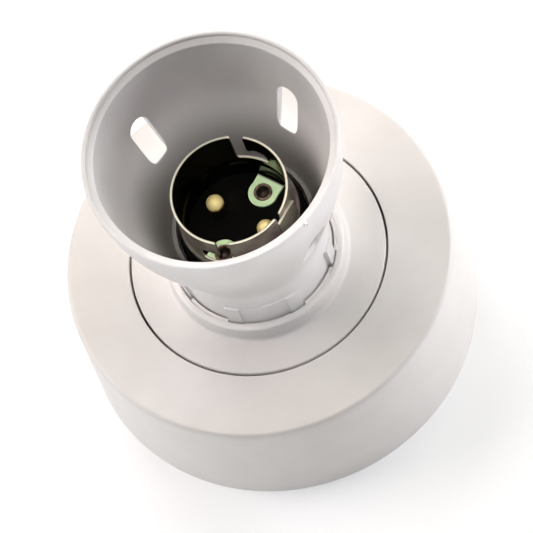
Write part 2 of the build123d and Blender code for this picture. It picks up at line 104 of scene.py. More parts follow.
def shown(name, data, place=None):
    """A new object in the scene, placed by a matrix where one is given."""
    made = bpy.data.objects.new(name, data)
    bpy.context.scene.collection.objects.link(made)
    if place is not None:
        made.matrix_world = place
    return made


def aimed(spot, outward):
    """The place of a lamp at this spot that shines against the outward direction."""
    return Matrix.Translation(spot) @ outward.to_track_quat("Z", "Y").to_matrix().to_4x4()


scene = bpy.context.scene
scene.view_settings.view_transform = "Standard"
scene.view_settings.look = "None"

lens = bpy.data.cameras.new("camera")
lens.sensor_width = 36
lens.lens = 243.1
lens.clip_start = 0.05
camera_right = Vector((0.908898, -0.374233, -0.183992))
camera_up = Vector((0.417018, 0.815649, 0.401015))
camera_spot = Vector((0.00051, -0.324858, 0.681043))
held = Matrix((camera_right, camera_up, camera_right.cross(camera_up))).transposed().to_4x4()
held.translation = camera_spot
scene.camera = shown("camera", lens, held)

room = bpy.data.worlds.new("room")
scene.world = room
room.use_nodes = True
room.node_tree.nodes["Background"].inputs["Strength"].default_value = 0.02

# Softboxes in two rings: bearing from +X towards +Y, height angle, watts in red, green and blue
softbox_reach = 0.95
for bearing, rise, watts in (
    (0, 12, (5.86, 5.92, 6.15)),
    (180, 12, (1.50, 1.72, 1.84)),
    (300, 12, (0.21, 0.21, 0.20)),
    (30, 45, (1.28, 1.27, 1.06)),
    (90, 45, (3.16, 3.05, 3.10)),
    (150, 45, (4.17, 3.80, 3.71)),
    (210, 45, (0.34, 0.40, 0.44)),
    (270, 45, (0.16, 0.15, 0.16)),
    (330, 45, (0.99, 0.99, 1.16)),
    (90, 85, (1.35, 1.27, 1.05)),
):
    softbox = bpy.data.lights.new("softbox", "AREA")
    softbox.shape = "DISK"
    softbox.size = 0.5
    softbox.energy = max(watts)
    softbox.color = [w / max(watts) for w in watts]
    outward = Vector((cos(radians(rise)) * cos(radians(bearing)),
                      cos(radians(rise)) * sin(radians(bearing)), sin(radians(rise))))
    shown(f"softbox_{bearing}_{rise}", softbox, aimed(softbox_reach * outward, outward))

# A small hooded lamp beside the lens lights what stands on the core, and little else
snoot = bpy.data.lights.new("snoot", "SPOT")
snoot.energy = 66.0
snoot.spot_size = radians(1.45)
snoot.spot_blend = 0.3
snoot.shadow_soft_size = 0.02
snoot_target = Vector((0, 0, 0.045))
shown("snoot", snoot, aimed(camera_spot, camera_spot - snoot_target))

# Seamless white paper, lit a little from behind as on a light table
floor_half = 3
floor_mesh = bpy.data.meshes.new("floor")
floor_mesh.from_pydata([(-floor_half, -floor_half, 0), (floor_half, -floor_half, 0),
                        (floor_half, floor_half, 0), (-floor_half, floor_half, 0)],
                       [], [(0, 1, 2, 3)])
paper = material("seamless_paper", {
    "Base Color": linear("#e8e8e9"), "Roughness": 0.9, "Emission Color": linear("#ffffff"),
    "Emission Strength": 0.32})[0]
floor_mesh.materials.append(paper)
shown("floor", floor_mesh)

# The terminal base is pressed from white urea powder in a hot steel mould: dense, opaque and
# faintly warm. Its back is the mounting face, and two wood screws hold it up.
def eased(piece, edge):
    """Round a piece's creases by this many metres."""
    easing = piece.modifiers.new("eased edges", "BEVEL")
    easing.width = edge
    easing.segments = 2
    easing.limit_method = "ANGLE"
    easing.angle_limit = radians(35)
    easing.harden_normals = True


def dressed(name, finish, edge):
    """A CAD solid's copy with its triangles merged and its edges eased, riding where it rode."""
    solid = frame["nodes"][name]
    mesh = solid.data.copy()
    if "custom_normal" in mesh.attributes:
        mesh.attributes.remove(mesh.attributes["custom_normal"])
    work = bmesh.new()
    work.from_mesh(mesh)
    bmesh.ops.remove_doubles(work, verts=work.verts, dist=2e-6)
    bmesh.ops.dissolve_limit(work, angle_limit=radians(0.3), verts=work.verts, edges=work.edges)
    for face in work.faces:
        face.smooth = True
    work.to_mesh(mesh)
    work.free()
    mesh.materials.clear()
    mesh.materials.append(finish)
    piece = shown(name + "_finished", mesh)
    eased(piece, edge)
    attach(piece, solid["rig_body"])
    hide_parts(name)


def clouded(name, sockets, noise, stops, dull=None):
    """A material whose colour, and roughness where dull gives its range, drift in soft clouds."""
    made, tree, shader = material(name, sockets)
    place = node(tree, "ShaderNodeTexCoord")
    cloud = node(tree, "ShaderNodeTexNoise", noise, {"Vector": (place, "Object")})
    shade = node(tree, "ShaderNodeValToRGB", {"stops": stops}, {"Fac": cloud})
    join(shader, {"Base Color": shade})
    if dull:
        join(shader, {"Roughness": node(tree, "ShaderNodeMapRange", dull, {"Value": cloud})})
    return made, tree, shader, place, cloud, shade


def moulded(name, sockets, stops, speck, cloud_scale, grain_scale, peel_scale, fleck, dull):
    """A clouded moulding with the filler's grain and specks, and the mould's orange peel."""
    made, tree, shader, place, cloud, shade = clouded(
        name, sockets, {"Scale": cloud_scale, "Detail": 3.0}, stops, dull)
    grain, peel = [node(tree, "ShaderNodeTexNoise", {"Scale": scale, "Detail": 2.0},
                        {"Vector": (place, "Object")}) for scale in (grain_scale, peel_scale)]
    flecks = node(tree, "ShaderNodeMapRange", fleck, {"Value": grain})
    colour = node(tree, "ShaderNodeMix", {"data_type": "RGBA", 7: linear(speck)},
                  {0: flecks, 6: shade})
    fine = node(tree, "ShaderNodeBump", {"Strength": 0.12, "Distance": 0.00003}, {"Height": grain})
    bump = node(tree, "ShaderNodeBump", {"Strength": 0.08, "Distance": 0.0002},
                {"Height": peel, "Normal": fine})
    join(shader, {"Base Color": (colour, 2), "Normal": bump})
    return made, tree, shader, place, colour


# Compression-moulded urea: satin and chalky, with the orange peel of the polished mould, a fine
# filler grain, drawn coarser than it is so that it shows, and clouds where the powder flowed.
urea = moulded("compression_moulded_urea", {"IOR": 1.55}, ((0.3, "#e3deda"), (0.7, "#e8e4e0")),
               speck="#b9ada2", cloud_scale=120.0, grain_scale=3500.0, peel_scale=500.0,
               fleck={"From Min": 0.66, "From Max": 0.76, "To Max": 0.10},
               dull={"From Min": 0.3, "From Max": 0.7, "To Min": 0.34, "To Max": 0.46})[0]

dressed("base", urea, edge=0.0003)

# Brass strips carry the current from the contacts to the terminals, which are sawn from brass bar.
# Strip and block alike lie in the base's bays, held by the clamping screws and the barrels.
# Sawn and stamped brass: yellow, a little dulled, with the cut's fine lines across it.
brass, tree, shader, place, _, _ = clouded(
    "sawn_brass", {"Metallic": 1.0}, {"Scale": 400.0, "Detail": 4.0},
    ((0.35, "#b48c48"), (0.62, "#dcb96c")), {"To Min": 0.24, "To Max": 0.44})
along = node(tree, "ShaderNodeMapping", {"Scale": (300.0, 300.0, 6000.0)},
             {"Vector": (place, "Object")})
lines = node(tree, "ShaderNodeTexNoise", {"Scale": 1.0, "Detail": 3.0}, {"Vector": along})
bump = node(tree, "ShaderNodeBump", {"Strength": 0.15, "Distance": 0.00002}, {"Height": lines})
join(shader, {"Normal": bump})

for name in ("live_strip", "neutral_strip", "live_terminal", "neutral_terminal", "loop_terminal",
             "earth_terminal"):
    dressed(name, brass, edge=0.00012)

# Screws are cold-headed from steel wire with rolled threads and bright zinc plating: four cheese
# heads clamp the wires, two hold the body to the base from the back, and two hold the core.
def placed(name, mesh, finish, body, slot, *stands_for):
    """A closed piece given in mm: scaled, faces turned outwards, creases kept, riding a body."""
    mesh.transform(Matrix.Scale(0.001, 4))
    work = bmesh.new()
    work.from_mesh(mesh)
    loose = [v for v in work.verts if not v.link_faces]
    bmesh.ops.delete(work, geom=loose, context="VERTS")
    bmesh.ops.recalc_face_normals(work, faces=work.faces)
    for face in work.faces:
        face.smooth = True
    for edge in work.edges:
        edge.smooth = not (len(edge.link_faces) == 2 and edge.calc_face_angle() > radians(40))
    work.to_mesh(mesh)
    work.free()
    mesh.materials.clear()
    mesh.materials.append(finish)
    piece = shown(name, mesh)
    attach(piece, body)
    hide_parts(*stands_for)
    return piece


def growing(name, sizes):
    """A geometry tree that grows a piece from seed points, with named inputs in mm and radians."""
    tree = bpy.data.node_groups.new(name, "GeometryNodeTree")
    tree.interface.new_socket("Seeds", in_out="INPUT", socket_type="NodeSocketGeometry")
    for label, value in sizes.items():
        kind = "NodeSocketInt" if isinstance(value, int) else "NodeSocketFloat"
        tree.interface.new_socket(label, in_out="INPUT", socket_type=kind).default_value = value
    tree.interface.new_socket("Finish", in_out="INPUT", socket_type="NodeSocketMaterial")
    tree.interface.new_socket("Piece", in_out="OUTPUT", socket_type="NodeSocketGeometry")
    return tree, node(tree, "NodeGroupInput")


def stood(tree, given, points, shape, links=None):
    """End a tree: the shape stands on each point, made real and given its finish."""
    standing = node(tree, "GeometryNodeInstanceOnPoints", {},
                    {"Points": points, "Instance": shape, **(links or {})})
    real = node(tree, "GeometryNodeRealizeInstances", {}, {"Geometry": standing})
    finished = node(tree, "GeometryNodeSetMaterial", {},
                    {"Geometry": real, "Material": (given, "Finish")})
    node(tree, "NodeGroupOutput", {}, {"Piece": finished})
    return tree


def grown(name, seeds, tree, sizes, finish, body, slot, *stands_for):
    """A piece grown from its seed points in mm and turned into a plain mesh."""
    mesh = bpy.data.meshes.new(name + "_seeds")
    mesh.from_pydata([(*p, 0.0)[:3] for p in seeds], [], [])
    seed = shown(name + "_seeds", mesh)
    way = seed.modifiers.new("grown", "NODES")
    way.node_group = tree
    for item in tree.interface.items_tree:
        if item.in_out == "INPUT" and item.name in sizes:
            way[item.identifier] = sizes[item.name]
        if item.name == "Finish":
            way[item.identifier] = finish
    found = seed.evaluated_get(bpy.context.evaluated_depsgraph_get())
    plain = bpy.data.meshes.new_from_object(found)
    plain.name = name
    bpy.data.objects.remove(seed)
    return placed(name, plain, finish, body, slot, *stands_for)


# The head stands on the seed point and the shank hangs below it. Over turns both about X.
tree, given = growing("screw", {
    "Head radius": 2.4, "Head height": 1.6, "Shank radius": 1.5, "Shank length": 5.0,
    "Slot width": 0.7, "Pitch": 0.6, "Thread depth": 0.18, "Over": 0.0})
half_head = node(tree, "ShaderNodeMath", {"operation": "MULTIPLY", 1: 0.5}, {0: (given, "Head height")})
head_middle = node(tree, "ShaderNodeCombineXYZ", {}, {"Z": half_head})
head = node(tree, "GeometryNodeMeshCylinder", {"Vertices": 48},
            {"Radius": (given, "Head radius"), "Depth": (given, "Head height")})
head_place = node(tree, "GeometryNodeTransform", {}, {"Geometry": head, "Translation": head_middle})
slot_long = node(tree, "ShaderNodeMath", {"operation": "MULTIPLY", 1: 3.0}, {0: (given, "Head radius")})
slot_size = node(tree, "ShaderNodeCombineXYZ", {},
                 {"X": slot_long, "Y": (given, "Slot width"), "Z": (given, "Head height")})
slot_cut = node(tree, "GeometryNodeMeshCube", {}, {"Size": slot_size})
slot_middle = node(tree, "ShaderNodeCombineXYZ", {}, {"Z": (given, "Head height")})
slot_place = node(tree, "GeometryNodeTransform", {}, {"Geometry": slot_cut, "Translation": slot_middle})
slotted = node(tree, "GeometryNodeMeshBoolean", {"operation": "DIFFERENCE"},
               {"Mesh 1": head_place, "Mesh 2": slot_place})
rings = node(tree, "ShaderNodeMath", {"operation": "DIVIDE"},
             {0: (given, "Shank length"), 1: (given, "Pitch")})
ring_count = node(tree, "ShaderNodeMath", {"operation": "MULTIPLY", 1: 6.0}, {0: rings})
shank = node(tree, "GeometryNodeMeshCylinder", {"Vertices": 24},
             {"Radius": (given, "Shank radius"), "Depth": (given, "Shank length"),
              "Side Segments": ring_count})
spot = node(tree, "GeometryNodeInputPosition")
spot_parts = node(tree, "ShaderNodeSeparateXYZ", {}, {"Vector": spot})
bearing_now = node(tree, "ShaderNodeMath", {"operation": "ARCTAN2"},
                   {0: (spot_parts, "Y"), 1: (spot_parts, "X")})
turns_now = node(tree, "ShaderNodeMath", {"operation": "DIVIDE", 1: 2 * pi}, {0: bearing_now})
climbed = node(tree, "ShaderNodeMath", {"operation": "DIVIDE"},
               {0: (spot_parts, "Z"), 1: (given, "Pitch")})
phase = node(tree, "ShaderNodeMath", {"operation": "SUBTRACT"}, {0: climbed, 1: turns_now})
flank = node(tree, "ShaderNodeMath", {"operation": "PINGPONG", 1: 0.5}, {0: phase})
sunk = node(tree, "ShaderNodeMath", {"operation": "MULTIPLY"}, {0: flank, 1: (given, "Thread depth")})
inwards = node(tree, "ShaderNodeVectorMath", {"operation": "MULTIPLY", 1: (-2.0, -2.0, 0.0)}, {0: spot})
inwards_one = node(tree, "ShaderNodeVectorMath", {"operation": "NORMALIZE"}, {0: inwards})
thread_move = node(tree, "ShaderNodeVectorMath", {"operation": "SCALE"},
                   {0: inwards_one, "Scale": sunk})
threaded = node(tree, "GeometryNodeSetPosition", {}, {"Geometry": shank, "Offset": thread_move})
half_down = node(tree, "ShaderNodeMath", {"operation": "MULTIPLY", 1: -0.5},
                 {0: (given, "Shank length")})
shank_middle = node(tree, "ShaderNodeCombineXYZ", {}, {"Z": half_down})
shank_place = node(tree, "GeometryNodeTransform", {},
                   {"Geometry": threaded, "Translation": shank_middle})
screw_whole = node(tree, "GeometryNodeJoinGeometry", {}, {"Geometry": slotted})
join(screw_whole, {"Geometry": shank_place})
over = node(tree, "ShaderNodeCombineXYZ", {}, {"X": (given, "Over")})
screw_points = node(tree, "GeometryNodeMeshToPoints", {}, {"Mesh": (given, "Seeds")})
screw_tree = stood(tree, given, screw_points, screw_whole, {"Rotation": over})

# Bright zinc on steel: blue-white, slightly cloudy from the bath, with darker spots.
plated = clouded("bright_zinc_on_steel", {"Metallic": 1.0}, {"Scale": 900.0, "Detail": 4.0},
                 ((0.35, "#a9adb0"), (0.6, "#d2d4d4")), {"To Min": 0.22, "To Max": 0.42})[0]


def ring_of(radius, bearings, height):
    """Points at these bearings in degrees round the axis."""
    return [(radius * cos(radians(a)), radius * sin(radians(a)), height) for a in bearings]


contact_bearings, loop_bearings = (-54, 126), (54, 234)
bay_place, post_place, core_screw_place = 32.198, 19.0, 9.5

# Each kind: its node, the points where its heads stand, and its sizes
for solid, seats, sizes in (
    ("terminal_screws", ring_of(bay_place, contact_bearings + loop_bearings, 15.5),
     {"Shank length": 3.1}),
    ("body_screws", [(0, post_place, 2.35), (0, -post_place, 2.35)],
     {"Head radius": 3.0, "Head height": 2.1, "Shank radius": 1.25, "Shank length": 17.65,
      "Over": pi}),
    ("core_screws", ring_of(core_screw_place, (-9, 171), 22.5),
     {"Head radius": 2.3, "Head height": 1.6, "Shank radius": 1.2, "Shank length": 10.5,
      "Over": pi}),
):
    screws = grown(solid + "_threaded", seats, screw_tree, sizes, plated, "holder", "plated_screw",
                   solid)
    eased(screws, edge=0.0001)

# The holder body is pressed in urea like the base: the inner disc with its raised collar, the well
# that the skirt's neck stands in, and the bosses that the two long screws pull down.
dressed("holder_body", urea, edge=0.0003)

# The insulating core is turned black phenolic with two stepped holes for the sprung contacts.
# Black phenolic: a deep, slightly uneven black with the filler's fine grain in its satin top.
phenolic, tree, shader, _, grain, _ = clouded(
    "black_phenolic", {"IOR": 1.5, "Specular IOR Level": 0.06}, {"Scale": 2500.0, "Detail": 3.0},
    ((0.4, "#010101"), (0.75, "#070606")), {"To Min": 0.4, "To Max": 0.65})
bump = node(tree, "ShaderNodeBump", {"Strength": 0.3, "Distance": 0.00004}, {"Height": grain})
join(shader, {"Normal": bump})
dressed("insulator", phenolic, edge=0.0002)

# Each contact is a turned brass plunger with a domed end, sliding in a drawn brass barrel on a
# coil spring, so that it presses on the lamp's cap.
def arc(centre, radius, start, end, steps):
    """Points of an arc in degrees, ends included."""
    return [(centre[0] + radius * cos(radians(start + (end - start) * k / steps)),
             centre[1] + radius * sin(radians(start + (end - start) * k / steps)))
            for k in range(steps + 1)]


# The tree turns a profile, whose seed points are radius and height, round a shaft. It stands
# Count such pieces at Place radius from the axis, Apart radians from one to the next.
tree, given = growing("turned_piece", {
    "Steps": 64, "Count": 1, "Place radius": 0.0, "Place angle": 0.0, "Apart": pi})
profile_size = node(tree, "GeometryNodeAttributeDomainSize", {"component": "MESH"},
                    {"Geometry": (given, "Seeds")})
columns_round = node(tree, "ShaderNodeMath", {"operation": "ADD", 1: 1.0}, {0: (given, "Steps")})
blank = node(tree, "GeometryNodeMeshGrid", {},
             {"Vertices X": profile_size, "Vertices Y": columns_round})
point_index = node(tree, "GeometryNodeInputIndex")
row_share = node(tree, "ShaderNodeMath", {"operation": "DIVIDE"}, {0: point_index, 1: columns_round})
row = node(tree, "ShaderNodeMath", {"operation": "FLOOR"}, {0: row_share})
column = node(tree, "ShaderNodeMath", {"operation": "MODULO"}, {0: point_index, 1: columns_round})
seed_place = node(tree, "GeometryNodeInputPosition")
on_profile = node(tree, "GeometryNodeSampleIndex", {"data_type": "FLOAT_VECTOR"},
                  {"Geometry": (given, "Seeds"), "Value": seed_place, "Index": row})
radius_height = node(tree, "ShaderNodeSeparateXYZ", {}, {"Vector": on_profile})
round_share = node(tree, "ShaderNodeMath", {"operation": "DIVIDE"}, {0: column, 1: (given, "Steps")})
round_angle = node(tree, "ShaderNodeMath", {"operation": "MULTIPLY", 1: 2 * pi}, {0: round_share})
cosine = node(tree, "ShaderNodeMath", {"operation": "COSINE"}, {0: round_angle})
sine = node(tree, "ShaderNodeMath", {"operation": "SINE"}, {0: round_angle})
turned_x = node(tree, "ShaderNodeMath", {"operation": "MULTIPLY"}, {0: (radius_height, "X"), 1: cosine})
turned_y = node(tree, "ShaderNodeMath", {"operation": "MULTIPLY"}, {0: (radius_height, "X"), 1: sine})
turned_spot = node(tree, "ShaderNodeCombineXYZ", {},
                   {"X": turned_x, "Y": turned_y, "Z": (radius_height, "Y")})
turned = node(tree, "GeometryNodeSetPosition", {}, {"Geometry": blank, "Position": turned_spot})
closed = node(tree, "GeometryNodeMergeByDistance", {"Distance": 0.0001}, {"Geometry": turned})
place_index = node(tree, "GeometryNodeInputIndex")
place_turn = node(tree, "ShaderNodeMath", {"operation": "MULTIPLY_ADD"},
                  {0: place_index, 1: (given, "Apart"), 2: (given, "Place angle")})
place_out = node(tree, "ShaderNodeCombineXYZ", {}, {"X": (given, "Place radius")})
place_spot = node(tree, "ShaderNodeVectorRotate", {"rotation_type": "Z_AXIS"},
                  {"Vector": place_out, "Angle": place_turn})
places = node(tree, "GeometryNodePoints", {}, {"Count": (given, "Count"), "Position": place_spot})
turning_tree = stood(tree, given, places, closed)

# The spring's tree winds wire round its seed point, with the end turns drawn close.
tree, given = growing("wound_spring", {
    "Coil radius": 1.9, "Wire radius": 0.25, "Turns": 6.0, "Height": 11.35, "Close": 0.5})
helix = node(tree, "GeometryNodeCurveSpiral", {"Resolution": 36},
             {"Rotations": (given, "Turns"), "Start Radius": (given, "Coil radius"),
              "End Radius": (given, "Coil radius"), "Height": (given, "Height")})
along = node(tree, "GeometryNodeSplineParameter")
eased_along = node(tree, "ShaderNodeMapRange", {"interpolation_type": "SMOOTHSTEP"}, {"Value": along})
drawn_by = node(tree, "ShaderNodeMath", {"operation": "SUBTRACT"}, {0: eased_along, 1: along})
drawn_close = node(tree, "ShaderNodeMath", {"operation": "MULTIPLY"},
                   {0: drawn_by, 1: (given, "Close")})
drawn_height = node(tree, "ShaderNodeMath", {"operation": "MULTIPLY"},
                    {0: drawn_close, 1: (given, "Height")})
drawn_move = node(tree, "ShaderNodeCombineXYZ", {}, {"Z": drawn_height})
wound = node(tree, "GeometryNodeSetPosition", {}, {"Geometry": helix, "Offset": drawn_move})
wire = node(tree, "GeometryNodeCurvePrimitiveCircle", {"Resolution": 12},
            {"Radius": (given, "Wire radius")})
wire_body = node(tree, "GeometryNodeCurveToMesh", {"Fill Caps": True},
                 {"Curve": wound, "Profile Curve": wire})
spring_point = node(tree, "GeometryNodeMeshToPoints", {}, {"Mesh": (given, "Seeds")})
winding_tree = stood(tree, given, spring_point, wire_body)

# Drawn spring wire: bright grey, with a brown heat tint in places.
spring_wire = clouded("drawn_spring_wire", {"Metallic": 1.0, "Roughness": 0.3},
                      {"Scale": 700.0, "Detail": 4.0}, ((0.4, "#8a8178"), (0.6, "#b4b4b2")))[0]

# Turned brass: pale yellow on the dome, where the tool left it bright, with the tool's rings round it,
# drawn coarser than they are, and painted shade down the stem, dark brown to nearly black below the
# dome.
dome_brass, tree, shader, place, cloud, shade = clouded(
    "turned_brass", {"Metallic": 0.35}, {"Scale": 900.0, "Detail": 4.0},
    ((0.0, "#0d0a07"), (0.45, "#b8803a"), (1.0, "#fde6a0")), {"To Min": 0.4, "To Max": 0.55})
parts = node(tree, "ShaderNodeSeparateXYZ", {}, {"Vector": (place, "Object")})
# Painted shade down the stem: below the dome, along a ragged edge, the colour falls to nearly black
ragged = node(tree, "ShaderNodeMath", {"operation": "MULTIPLY_ADD", 1: 0.0016},
              {0: cloud, 2: (parts, "Z")})
above_painted_shade = node(tree, "ShaderNodeMapRange", {"From Min": 0.0462, "From Max": 0.0472}, {"Value": ragged})
rings = node(tree, "ShaderNodeTexWave",
             {"bands_direction": "Z", "Scale": 900.0, "Distortion": 0.4}, {"Vector": (place, "Object")})
bump = node(tree, "ShaderNodeBump", {"Strength": 0.1, "Distance": 0.00002}, {"Height": (rings, "Fac")})
join(shade, {"Fac": above_painted_shade})
join(shader, {"Normal": bump})

contact_place, spring_seat = 6.05, 26.6
barrel = [(0, 25.3), (3.0, 25.3), (3.1, 25.4), (3.1, 40.1), (3.0, 40.2), (2.55, 40.2), (2.45, 40.1),
          (2.45, 26.3), (0, 26.3)]
plunger = [(0, 38.25), (2.3, 38.25), (2.4, 38.35), (2.4, 40.05), (2.3, 40.15), (1.9, 40.15),
           (1.8, 40.25), (1.8, 43.0), (1.8, 45.9)]
plunger += arc((0.1, 45.9), 1.7, 0, 90, 14)[1:] + [(0, 47.6)]
for pole, bearing in zip(("live", "neutral"), contact_bearings):
    stand = {"Place radius": contact_place, "Place angle": radians(bearing)}
    grown(pole + "_barrel_drawn", barrel, turning_tree, stand, brass, "holder", "brass",
          pole + "_barrel")
    grown(pole + "_spring_wound", ring_of(contact_place, [bearing], spring_seat), winding_tree, {},
          spring_wire, "holder", "spring_steel", pole + "_spring")
    grown(pole + "_plunger_turned", plunger, turning_tree, stand, dome_brass, pole + "_contact",
          "brass", pole + "_plunger")

# The bayonet sleeve is blanked and rolled from 0.5 mm steel sheet: two J slots for the lamp's pins,
# a bead, a lapped seam and two lugs folded in at the foot, zinc plated and passivated green.
def clear_of(point, loop, least=0.0):
    """Whether a point is inside a loop and at least this far from its corners."""
    x, y = point
    inside = False
    for (x0, y0), (x1, y1) in zip(loop, loop[1:] + loop[:1]):
        if (y0 > y) != (y1 > y) and x < x0 + (y - y0) * (x1 - x0) / (y1 - y0):
            inside = not inside
    return inside and all((x - a) ** 2 + (y - b) ** 2 > least * least for a, b in loop)


def plate(outline, holes, inner_points, place):
    """A sheet cut to flat loops in mm: its two faces joined round every loop. Place bends it."""
    flat, edges = [], []
    for loop in (outline, *holes):
        first = len(flat)
        flat += loop
        edges += [(first + k, first + (k + 1) % len(loop)) for k in range(len(loop))]
    found = delaunay_2d_cdt([Vector(p) for p in flat + inner_points], edges, [], 1, 1e-6)
    verts, half = found[0], len(found[0])
    triangles = []
    for t in found[2]:
        middle = (sum(verts[k][0] for k in t) / 3, sum(verts[k][1] for k in t) / 3)
        if clear_of(middle, outline) and not any(clear_of(middle, hole) for hole in holes):
            triangles.append(tuple(t))
    skins = triangles + [tuple(half + k for k in reversed(t)) for t in triangles]
    used = {(a, b) for t in triangles for a, b in zip(t, (*t[1:], t[0]))}
    walls = [(b, a, half + a, half + b) for a, b in sorted(used) if (b, a) not in used]
    return [place(v[0], v[1], side) for side in (0, 1) for v in verts], skins + walls


def rounded(corners):
    """A closed outline from corners (x, y, radius), each turned into an arc."""
    outline = []
    for k, (x, y, radius) in enumerate(corners):
        here = Vector((x, y))
        back = (Vector(corners[k - 1][:2]) - here).normalized()
        on = (Vector(corners[(k + 1) % len(corners)][:2]) - here).normalized()
        half_angle = back.angle(on) / 2
        reach = radius / sin(half_angle)
        middle = here + (back + on).normalized() * reach
        leg = radius * cos(half_angle) / sin(half_angle)
        a, b = (here + back * leg - middle).normalized(), (here + on * leg - middle).normalized()
        outline += [tuple(middle + a.slerp(b, step / 6) * radius) for step in range(7)]
    return outline


sleeve_foot, sleeve_top, sleeve_r, sheet = 42.0, 58.0, 11.25, 0.5
sheet_middle = sleeve_r + sheet / 2
bead_low, bead_high, bead_rise = 46.4, 48.2, 0.5
seam_start, seam_end, lap_start, lap_slope, lap_end = -53.5, 301, -59, -43.5, -28
lap_foot, lap_low_top, lap_top, lap_over = 48.25, 53.6, 56.2, 0.2
slot_entry, slot_seat, slot_half = 61, 32.7, 1.325
slot_foot, slot_throat, seat_top, seat_span = 49.0, 51.7, 53.1, 3.1
lug_bearing, lug_place, lug_r, lug_half, lug_hole_r = 36, 7.5, 3.05, 3.0, 1.55
fold_place, fold_r, fold_clear = 9.95, 1.3, 0.002
mesh_step, mesh_clear = 0.6, 0.3


def rolled(out):
    """Bends flat (arc length, height) round the sleeve, out mm beyond it, with the bead."""
    def place(s, z, side):
        bearing = s / sheet_middle
        up_bead = (z - bead_low) / (bead_high - bead_low)
        swell = bead_rise * sin(pi * up_bead) if 0 < up_bead < 1 else 0
        radius = sleeve_r + out + side * sheet + swell
        return (radius * cos(bearing), radius * sin(bearing), z)
    return place


def along_arc(degrees_round):
    """The flat length that rolls into this many degrees of the sleeve."""
    return radians(degrees_round) * sheet_middle


def j_slot(turn):
    """The corners of one J slot, open at the top, from its seat's side to its entry's."""
    seat, entry = along_arc(slot_seat + turn), along_arc(slot_entry + turn)
    return [(entry + slot_half, sleeve_top, 0.35), (entry + slot_half, slot_foot, 0.8),
            (seat, slot_foot, 1.1), (seat, seat_top, 1.4), (seat + seat_span, seat_top + 0.2, 1.6),
            (entry - slot_half, slot_throat, 0.4), (entry - slot_half, sleeve_top, 0.35)]


def added(sheet_spots, sheet_skins):
    """Put a bent sheet's points and faces with the sleeve's."""
    first = len(spots)
    skins.extend(tuple(first + k for k in skin) for skin in sheet_skins)
    spots.extend(sheet_spots)


spots, skins = [], []
corners = [(along_arc(seam_start), sleeve_foot, 0.2), (along_arc(seam_end), sleeve_foot, 0.2),
           (along_arc(seam_end), sleeve_top, 0.5), *j_slot(180), *j_slot(0),
           (along_arc(seam_start), sleeve_top, 0.5)]
outline = rounded(corners)
dense = []
for (x0, y0), (x1, y1) in zip(outline, outline[1:] + outline[:1]):
    pieces = max(1, int(max(abs(x1 - x0), abs(y1 - y0)) / mesh_step))
    dense += [(x0 + (x1 - x0) * k / pieces, y0 + (y1 - y0) * k / pieces) for k in range(pieces)]
bead_rows = [bead_low + (bead_high - bead_low) * k / 12 for k in range(13)]
field_rows = [43, 44, 45, 45.8] + bead_rows + [49.0, 50, 51, 52, 53, 54, 55, 56, 57]
field = [(along_arc(seam_start + (seam_end - seam_start) * k / 118), z)
         for z in field_rows for k in range(1, 118)]
added(*plate(dense, [], [p for p in field if clear_of(p, dense, mesh_clear)], rolled(0)))

# The lap lies over the seam, one end cut at a slope
lap = rounded([(along_arc(lap_start) - lap_over, lap_foot, 0.3), (along_arc(lap_end), lap_foot, 0.3),
               (along_arc(lap_end), lap_low_top, 0.4), (along_arc(lap_slope), lap_top, 0.8),
               (along_arc(lap_start) - lap_over, lap_top, 0.4)])
lap_field = [(along_arc(-57.5 + 3 * k), z) for z in (49.5, 51, 52.5, 54, 55.3) for k in range(10)]
added(*plate(lap, [], [p for p in lap_field if clear_of(p, lap, mesh_clear)], rolled(sheet)))

# Each lug turns in from the wall's foot, over a straight fold, and ends in an eye for its rivet
fold = [fold_place + fold_r * sin(radians(15 * k)) for k in range(7)]
eye = [(lug_place + x, y) for x, y in arc((0, 0), lug_r, 75, 285, 28)]
lug = eye + [(x, -lug_half) for x in fold] + [(x, lug_half) for x in reversed(fold)]
hole = [(lug_place + x, y) for x, y in arc((0, 0), lug_hole_r, 0, 360, 32)[:-1]]
across = [(x, -2.5 + 0.5 * k) for x in fold[:-1] for k in range(11)]
across += [(fold[-1] - fold_clear, -2.5 + 0.5 * k) for k in range(11)]
for turn in (0, 180):
    def folded(x, y, side):
        a = radians(lug_bearing + turn)
        rise = fold_r - sqrt(max(0, fold_r ** 2 - max(0, x - fold_place) ** 2))
        return (x * cos(a) - y * sin(a), x * sin(a) + y * cos(a), sleeve_foot + side * sheet + rise)

    added(*plate(lug, [hole], across, folded))

# Green passivation on zinc: a thin clear film over bright plating, grey-brown outside, chalky pale
# green on the lugs, and smooth and metallic inside, where it mirrors the black core, with its colour
# there painted dark as shade. Cut edges above the bead that face up get a painted highlight in pale
# cream. The rolling left faint lines round the wall, drawn coarser than they are.
zinc, tree, shader, place, _, shade = clouded(
    "green_passivated_zinc", {}, {"Scale": 260.0, "Detail": 3.0},
    ((0.36, "#9a8886"), (0.66, "#b8b4a2")))
parts = node(tree, "ShaderNodeSeparateXYZ", {}, {"Vector": (place, "Object")})
flat = node(tree, "ShaderNodeCombineXYZ", {}, {"X": (parts, "X"), "Y": (parts, "Y")})
radius = node(tree, "ShaderNodeVectorMath", {"operation": "LENGTH"}, {0: flat})
# The radius less the bead's swell tells the inner skin from the outer
across = node(tree, "ShaderNodeMapRange",
              {"From Min": bead_low / 1000, "From Max": bead_high / 1000, "To Min": -pi / 2,
               "To Max": pi / 2}, {"Value": (parts, "Z")})
swell = node(tree, "ShaderNodeMath", {"operation": "COSINE"}, {0: across})
level = node(tree, "ShaderNodeMath", {"operation": "MULTIPLY_ADD", 1: -bead_rise / 1000},
             {0: swell, 2: (radius, "Value")})
inner = node(tree, "ShaderNodeMapRange",
             {"From Min": 0.01128, "From Max": 0.01140, "To Min": 1.0, "To Max": 0.0}, {"Value": level})
